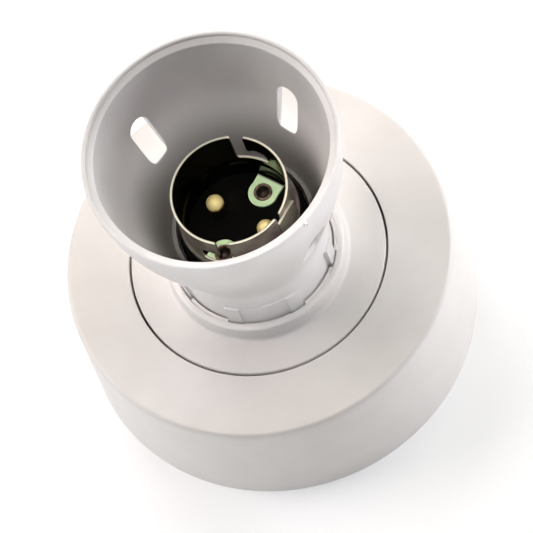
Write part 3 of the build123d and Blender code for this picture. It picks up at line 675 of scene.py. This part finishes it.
# A lug lies within the wall and below its fold's end
within = node(tree, "ShaderNodeMapRange",
              {"From Min": 0.01112, "From Max": 0.01122, "To Min": 1.0, "To Max": 0.0},
              {"Value": (radius, "Value")})
risen = node(tree, "ShaderNodeMapRange", {"From Min": 0.04252, "From Max": 0.0427},
             {"Value": (parts, "Z")})
unrisen = node(tree, "ShaderNodeMath", {"operation": "SUBTRACT", 0: 1.0}, {1: risen})
lug = node(tree, "ShaderNodeMath", {"operation": "MULTIPLY"}, {0: within, 1: unrisen})
wall = node(tree, "ShaderNodeMath", {"operation": "SUBTRACT"}, {0: inner, 1: lug})
# Cut edges face up above the bead; these get a painted highlight, chosen by which way they face
bead = node(tree, "ShaderNodeMapRange", {"From Min": bead_high / 1000, "From Max": 0.0484},
            {"Value": (parts, "Z")})
normal = node(tree, "ShaderNodeSeparateXYZ", {}, {"Vector": (place, "Normal")})
up = node(tree, "ShaderNodeMapRange", {"From Min": 0.55, "From Max": 0.85, "To Max": 0.6},
          {"Value": (normal, "Z")})
painted_edge_highlight = node(tree, "ShaderNodeMath", {"operation": "MULTIPLY"}, {0: bead, 1: up})
lug_or_highlit_edge = node(tree, "ShaderNodeMath", {"operation": "MAXIMUM"}, {0: lug, 1: painted_edge_highlight})
green = node(tree, "ShaderNodeMix", {"data_type": "RGBA", 7: linear("#d6eebe")}, {0: lug, 6: shade})
with_edge_highlight = node(tree, "ShaderNodeMix", {"data_type": "RGBA", 7: linear("#dfdecb")},
             {0: painted_edge_highlight, 6: (green, 2)})
# Painted shade on the inside wall: darkest at and below the bead, a little lighter above it
painted_inner_shade = node(tree, "ShaderNodeMix", {"data_type": "RGBA", 6: linear("#2a291f"), 7: linear("#66643c")},
              {0: bead})
colour = node(tree, "ShaderNodeMix", {"data_type": "RGBA"}, {0: wall, 6: (with_edge_highlight, 2), 7: (painted_inner_shade, 2)})
metal = node(tree, "ShaderNodeMapRange", {"To Min": 0.6, "To Max": 0.1}, {"Value": lug_or_highlit_edge})
plating = node(tree, "ShaderNodeMath", {"operation": "MULTIPLY_ADD", 1: 0.4}, {0: wall, 2: metal})
lines_place = node(tree, "ShaderNodeMapping", {"Scale": (120.0, 120.0, 5000.0)},
                   {"Vector": (place, "Object")})
lines = node(tree, "ShaderNodeTexNoise", {"Scale": 1.0, "Detail": 3.0}, {"Vector": lines_place})
gloss = node(tree, "ShaderNodeMapRange", {"To Min": 0.16, "To Max": 0.28}, {"Value": lines})
smooth = node(tree, "ShaderNodeMath", {"operation": "MULTIPLY_ADD", 1: -0.07}, {0: wall, 2: gloss})
chalk = node(tree, "ShaderNodeMath", {"operation": "MULTIPLY_ADD", 1: 0.3}, {0: lug_or_highlit_edge, 2: smooth})
bump = node(tree, "ShaderNodeBump", {"Strength": 0.08, "Distance": 0.00002}, {"Height": lines})
join(shader, {"Base Color": (colour, 2), "Metallic": plating, "Roughness": chalk, "Normal": bump})

sleeve_mesh = bpy.data.meshes.new("sleeve_rolled")
sleeve_mesh.from_pydata(spots, [], skins)
sleeve = placed("sleeve_rolled", sleeve_mesh, zinc, "holder", "zinc_plated_steel", "sleeve")
eased(sleeve, edge=0.00009)

# Two tubular rivets, drawn from brass tube, clinch the lugs to the core: each has a rolled head
# round its dark bore and a turned-over foot below the core.
# Tarnished brass: brown and patchy, half dull, and painted nearly black down the bore as shade.
tarnished, tree, shader, place, cloud, shade = clouded(
    "tarnished_brass_tube", {"Metallic": 0.6}, {"Scale": 1400.0, "Detail": 5.0},
    ((0.35, "#3e2d24"), (0.65, "#a08a78")), {"To Min": 0.3, "To Max": 0.6})
parts = node(tree, "ShaderNodeSeparateXYZ", {}, {"Vector": (place, "Object")})
# Painted shade in the shallow bore: darker below the head, nearly black at its bottom
painted_shade_depth = node(tree, "ShaderNodeMapRange",
            {"From Min": 0.0423, "From Max": 0.0429, "To Min": 0.85, "To Max": 0.0},
            {"Value": (parts, "Z")})
colour = node(tree, "ShaderNodeMix", {"data_type": "RGBA", 7: linear("#1a120d")}, {0: painted_shade_depth, 6: shade})
bump = node(tree, "ShaderNodeBump", {"Strength": 0.4, "Distance": 0.00004}, {"Height": cloud})
join(shader, {"Base Color": (colour, 2), "Normal": bump})
rivet = [(0, 40.6), (0.4, 40.55), (0.8, 40.7), (1.15, 41.0), (1.25, 41.5), (1.3, 42.6)]
rivet += arc((1.6, 42.65), 0.3, 180, 0, 12)
rivet += [(1.9, 42.5), (1.55, 42.5), (1.55, 30.0), (2.2, 30.0), (2.3, 29.9), (2.3, 29.6), (2.2, 29.5),
          (0, 29.5)]
grown("rivets_rolled", rivet, turning_tree,
      {"Count": 2, "Place radius": lug_place, "Place angle": radians(lug_bearing)}, tarnished,
      "holder", "tarnished_rivet", "sleeve_rivets")

# The outer cover is a drafted ring, pressed in the same urea. It slips down over the skirt, grips
# the base's rim and leaves a thin dark seam round the inner disc.
cover_r, inner_r, seam_r, cover_top, lean = 41.3, 39.1, 26.73, 27.3, 0.050657
ring = [(39.4, 0.0), (41.1, 0.0)] + arc((cover_r - 0.25, 0.25), 0.25, -90, 0, 4)
ring += [(cover_r - z * lean, z) for z in (1, 4, 8, 12, 16, 20, 23, 25, 26.2)]
ring += arc((38.93, cover_top - 1), 1.0, 3, 90, 10)
ring += [(r, cover_top) for r in (38, 35, 32, 29.5, 27.6, 27.1)]
ring += arc((seam_r + 0.2, 27.1), 0.2, 90, 180, 5)
ring += [(seam_r, 26.5), (seam_r, 25), (seam_r, 23.4), (seam_r + 0.1, 23.3), (28.63, 23.3),
         (28.73, 23.4), (28.73, 25.1), (28.93, 25.3), (31, 25.3), (34, 25.3), (37.5, 25.3),
         (37.83, 25.0)]
ring += [(inner_r - z * lean, z) for z in (23, 19, 14, 9, 4, 0.3)] + [(39.4, 0.0)]
grown("cover_ring_pressed", ring, turning_tree, {"Steps": 240}, urea, "cover", "warm_white_moulding",
      "cover_ring")

# The skirt is injection moulded in heat-resistant polyester: a bell with a beaded rim, a neck with
# eight locking teeth, and four vents that the mould draws straight up, so each begins as a groove.
def bezier(points, steps):
    """Points along a cubic or quadratic Bezier, ends included."""
    found = []
    for k in range(steps + 1):
        layer, share = [Vector(p) for p in points], k / steps
        while len(layer) > 1:
            layer = [a.lerp(b, share) for a, b in zip(layer, layer[1:])]
        found.append(tuple(layer[0]))
    return found


def between(value, xs, ys):
    """Straight-line look-up of value in rising xs."""
    k = max(0, min(len(xs) - 2, bisect_right(xs, value) - 1))
    return ys[k] + (ys[k + 1] - ys[k]) * (value - xs[k]) / (xs[k + 1] - xs[k])


foot_z, band_z, neck_z = 24.8, 36.9, 41.0
neck_r, bore_r, throat_r, throat_z, mouth_r = 16.2, 13.6, 14.5, 42.8, 23.05
rim_r, rim_bead_r, rim_z, lip_z, groove_step = 25.2, 0.45, 76.75, 75.7, -0.28
window_step, band_step, tooth_step, stands_out = -0.35, 0.14, 0.42, 0.1
tooth_count, tooth_pitch, tooth_span, first_tooth = 8, 45, 10.5, 4.35
vent_back, vent_half, vent_corner, vent_centre, vent_easing = 18.0, 2.5, 0.9, 62.7, 0.2
vent_bearings, patch_half, patch_clear = (31, 121, 211, 301), 12, 0.42
outer_low, outer_high, inner_low, inner_high = 43.5, 70, 48.5, 69.5

# Across a moulded step: distance from its edge in mm, and the share of the step climbed
step_shape = ((-0.11, 0), (-0.06, 0.03), (-0.02, 0.13), (-0.002, 0.32),
              (0.002, 0.68), (0.02, 0.87), (0.06, 0.97), (0.11, 1))

# Rows run round the wall's section: radius, height and how far the neck's band pushes them. Less
# than nothing is the depth in mm of the fine groove over what stands out.
outside = [(r, z, 1) for r, z in arc((neck_r - 0.25, foot_z + 0.25), 0.25, -90, 0, 4)]
outside += [(neck_r, z, 1) for z in (25.3, 27, 29, 31, 33, 35, 36.4)]
outside += [(neck_r, band_z + t, 1 - share) for t, share in step_shape]
outside += [(neck_r, 37.02, 0), (neck_r, 37.05, groove_step), (neck_r, 37.1, groove_step),
            (neck_r, 37.14, 0)]
outside += [(neck_r, z, 0) for z in (37.35, 38.5, 39.8)]
outside += [(r, z, 0) for r, z in bezier([(neck_r, neck_z), (neck_r, 47.1), (rim_r, 62.25),
                                          (rim_r, rim_z)], 46)]
mouth = [(r, z, 0) for r, z in arc((rim_r - rim_bead_r, rim_z), rim_bead_r, 0, 180, 14)[1:]]
mouth += [(24.3, 76.6, 0), (24.3, 76.45, 0), (24.27, 76.38, 0), (24.21, 76.38, 0), (24.1, 76.37, 0),
          (23.7, 76.12, 0), (23.3, 75.86, 0)]
mouth += [(r, z, 0) for r, z in bezier([(23.25, 75.83), (mouth_r, lip_z), (23.04, 75.4)], 5)]
bell = [(r, z, 0) for r, z in bezier([(mouth_r, lip_z), (22.2, 60), (15.6, 48.3),
                                      (throat_r, throat_z)], 46) if z < 75.2]
inside = [(14.42, 42.84, 0), (13.9, 43.07, 0), (13.75, 43.12, 0), (13.63, 43.08, 0),
          (bore_r, 42.95, 0), (bore_r, 42.8, 0)]
inside += [(bore_r, z, 0) for z in (41, 37, 33, 29, 26, 25.2)]
inside += [(r, z, 0) for r, z in arc((bore_r + 0.2, foot_z + 0.2), 0.2, 180, 270, 4)]
section = outside + mouth + bell + inside

# Columns run round the axis: bearing and the band's step there. The band runs on between two teeth
# on opposite sides, and is cut back to a window between the others.
columns = []
for tooth in range(tooth_count):
    start = first_tooth + tooth_pitch * tooth
    before = band_step if tooth % 4 == 2 else window_step
    after = band_step if tooth % 4 == 1 else window_step
    columns += [(start + degrees(t / neck_r), before + share * (tooth_step - before))
                for t, share in step_shape]
    columns += [(start + a, tooth_step) for a in (1.4, 3, 4.5, 6, 7.5, 9.1)]
    columns += [(start + tooth_span + degrees(t / neck_r), tooth_step + share * (after - tooth_step))
                for t, share in step_shape]
    columns += [(start + a, after) for a in (12.2, 13.4)]
    columns += [(start + 14.65 + 1.5 * k, after) for k in range(17)]
    columns += [(start + a, after) for a in (40.2, 41.8, 43.3)]

points = []
for r, z, push in section:
    for bearing, step in columns:
        across = r + (push * step if push >= 0 else push * (step > stands_out))
        points.append((across * cos(radians(bearing)), across * sin(radians(bearing)), z))
count = len(columns)
faces, taken = [], set()

# The mould's core for a vent is a tall blade with a round-cornered back: its half, back to side
blade = [((vent_half - vent_corner) * k / 3, vent_back) for k in range(3)]
blade += [(vent_half - vent_corner + vent_corner * sin(radians(15 * k)),
           vent_back + vent_corner * (1 - cos(radians(15 * k)))) for k in range(7)]
blade = [(-y, x) for y, x in reversed(blade[1:])] + blade


def vent_loop(radii, heights, spread):
    """The vent's outline on one side of the wall, grown by spread, from its sill round to it."""
    half = vent_half + spread
    sill = [(y * half / vent_half, between(sqrt(x * x + y * y), radii, heights) - spread)
            for y, x in blade]
    low = sill[-1][1]
    right = [(half, low + (vent_centre - low) * k / 20) for k in range(1, 20)]
    top = arc((0, vent_centre), half, 0, 180, 24)
    return sill + right + top + [(-y, z) for y, z in reversed(right)]


def vent_patch(rows, columns_used, middle, inward):
    """Triangles for one side of the wall round a vent, and the vent's own loop of points."""
    taken.update((i, j) for i in rows[:-1] for j in columns_used[:-1])
    heights = [section[i][1] for i in rows]
    radii = [section[i][0] for i in rows]
    if heights[0] > heights[-1]:
        heights.reverse()
        radii.reverse()
    ring = ([(rows[0], j) for j in columns_used] + [(i, columns_used[-1]) for i in rows[1:]]
            + [(rows[-1], j) for j in reversed(columns_used[:-1])]
            + [(i, columns_used[0]) for i in reversed(rows[1:-1])])
    flat, known = [], []

    def flatten(i, j):
        return (section[i][0] * sin(radians(columns[j][0] - middle)), section[i][1])

    def beyond(y, z):
        """How far a flat point lies outside the vent."""
        if z > vent_centre:
            return sqrt(y * y + (z - vent_centre) ** 2) - vent_half
        return max(abs(y) - vent_half, between(y, sill_y, sill_z) - z)

    for i, j in ring:
        flat.append(flatten(i, j))
        known.append(i * count + j)
    edges = [(k, (k + 1) % len(ring)) for k in range(len(ring))]
    sill = vent_loop(radii, heights, 0)[:len(blade)]
    sill_y, sill_z = [y for y, z in sill], [z for y, z in sill]
    for turn in (0, 22.5, 45, 67.5, 90):
        spread = vent_easing * (1 - cos(radians(turn)))
        sink = vent_easing * (1 - sin(radians(turn)))
        first = len(flat)
        loop = vent_loop(radii, heights, spread)
        for k, (y, z) in enumerate(loop):
            depth = sink if inward < 0 or k >= len(blade) else 0
            radius = between(z, heights, radii) - inward * depth
            x = sqrt(radius * radius - y * y)
            flat.append((y, z))
            known.append(len(points))
            points.append((x * cos(radians(middle)) - y * sin(radians(middle)),
                           x * sin(radians(middle)) + y * cos(radians(middle)), z))
        edges += [(first + k, first + (k + 1) % len(loop)) for k in range(len(loop))]
        if turn == 0:
            wall_loop = known[first:]
    for i in rows[1:-1]:
        for j in columns_used[1:-1]:
            y, z = flatten(i, j)
            if beyond(y, z) > patch_clear:
                flat.append((y, z))
                known.append(i * count + j)
    found = delaunay_2d_cdt([Vector(p) for p in flat], edges, [], 0, 1e-6)
    source = [known[originals[0]] for originals in found[3]]
    for triangle in found[2]:
        y = sum(found[0][k][0] for k in triangle) / 3
        z = sum(found[0][k][1] for k in triangle) / 3
        reach = between(z, heights, radii) * sin(radians(patch_half))
        if beyond(y, z) > 0 and abs(y) < reach - 1e-5:
            faces.append([source[k] for k in triangle])
    return wall_loop


outer_rows = [i for i, (r, z, push) in enumerate(outside) if outer_low < z < outer_high]
first_bell = len(outside) + len(mouth)
inner_rows = [first_bell + k for k, (r, z, push) in enumerate(bell) if inner_low < z < inner_high]
for middle in vent_bearings:
    used = [j for j, (bearing, step) in enumerate(columns)
            if abs(bearing - middle) < patch_half + 0.001]
    outer = vent_patch(outer_rows, used, middle, 1)
    inner = vent_patch(inner_rows, used, middle, -1)
    rings = [outer]
    for share in (0.05, 0.5, 0.95):
        rings.append([])
        for a, b in zip(outer, inner):
            rings[-1].append(len(points))
            points.append(tuple(Vector(points[a]).lerp(Vector(points[b]), share)))
    rings.append(inner)
    for near, far in zip(rings, rings[1:]):
        for k in range(len(near)):
            after = (k + 1) % len(near)
            faces.append([near[k], near[after], far[after], far[k]])

for i in range(len(section)):
    for j in range(count):
        if (i, j) not in taken:
            across = (j + 1) % count
            above = (i + 1) % len(section)
            faces.append([i * count + j, i * count + across, above * count + across,
                          above * count + j])

# Glass-filled polyester: a cooler white than the urea, satin, with the mould's fine spark grain,
# drawn coarser than it is, faint flow clouds and a few pinhead specks. Deep in the bell, on its
# inside, the colour is painted darker and browner as shade, most towards the throat.
polyester, tree, shader, place, colour = moulded(
    "injection_moulded_polyester", {"IOR": 1.57}, ((0.3, "#d9d6d4"), (0.7, "#e3e0de")),
    speck="#a8a29c", cloud_scale=90.0, grain_scale=3000.0, peel_scale=600.0,
    fleck={"From Min": 0.68, "From Max": 0.78, "To Max": 0.12},
    dull={"From Min": 0.3, "From Max": 0.7, "To Min": 0.30, "To Max": 0.42})
parts = node(tree, "ShaderNodeSeparateXYZ", {}, {"Vector": (place, "Object")})
flat = node(tree, "ShaderNodeCombineXYZ", {}, {"X": (parts, "X"), "Y": (parts, "Y")})
radius = node(tree, "ShaderNodeVectorMath", {"operation": "LENGTH"}, {0: flat})
# Below zero on the bell's inside, above zero on its outside
side = node(tree, "ShaderNodeMath", {"operation": "MULTIPLY_ADD", 1: -0.365},
            {0: (parts, "Z"), 2: (radius, "Value")})
within = node(tree, "ShaderNodeMapRange",
              {"From Min": -0.0007, "From Max": -0.0003, "To Min": 0.85, "To Max": 0.0},
              {"Value": side})
# Painted shade on the bell's inside: full below 45 mm, fading out by 60 mm
painted_shade_depth = node(tree, "ShaderNodeMapRange",
            {"interpolation_type": "SMOOTHSTEP", "From Min": 0.0450, "From Max": 0.0600,
             "To Min": 1.0, "To Max": 0.0}, {"Value": (parts, "Z")})
painted_deep_shade = node(tree, "ShaderNodeMath", {"operation": "MULTIPLY"}, {0: within, 1: painted_shade_depth})
shaded_colour = node(tree, "ShaderNodeMix", {"data_type": "RGBA", 7: linear("#57524c")},
            {0: painted_deep_shade, 6: (colour, 2)})
join(shader, {"Base Color": (shaded_colour, 2)})

# The moulding's gate leaves a small torn stub on the rim's outer side: rings of its reach and
# its distance out, with a cap at each end
gate_bearing, gate_z, gate_sides = radians(-65.5), 76.5, 12
gate_out = Vector((cos(gate_bearing), sin(gate_bearing), 0))
gate_round = Vector((-gate_out.y, gate_out.x, 0))
gate = len(points)
for reach, out in ((0.55, 24.9), (0.52, 25.4), (0.4, 25.56), (0.2, 25.3)):
    for k in range(gate_sides):
        turned = 2 * pi * k / gate_sides
        points.append(tuple(gate_out * out + gate_round * reach * cos(turned)
                            + Vector((0, 0, gate_z + reach * sin(turned)))))
last_ring = len(points) - gate_sides
for first in range(gate, last_ring, gate_sides):
    for k in range(gate_sides):
        after = (k + 1) % gate_sides
        faces.append([first + k, first + after, first + gate_sides + after, first + gate_sides + k])
faces.append([gate + k for k in reversed(range(gate_sides))])
faces.append([last_ring + k for k in range(gate_sides)])

skirt_mesh = bpy.data.meshes.new("skirt_moulding")
skirt_mesh.from_pydata(points, [], faces)
placed("skirt_moulding", skirt_mesh, polyester, "skirt", "cool_white_moulding", "skirt")
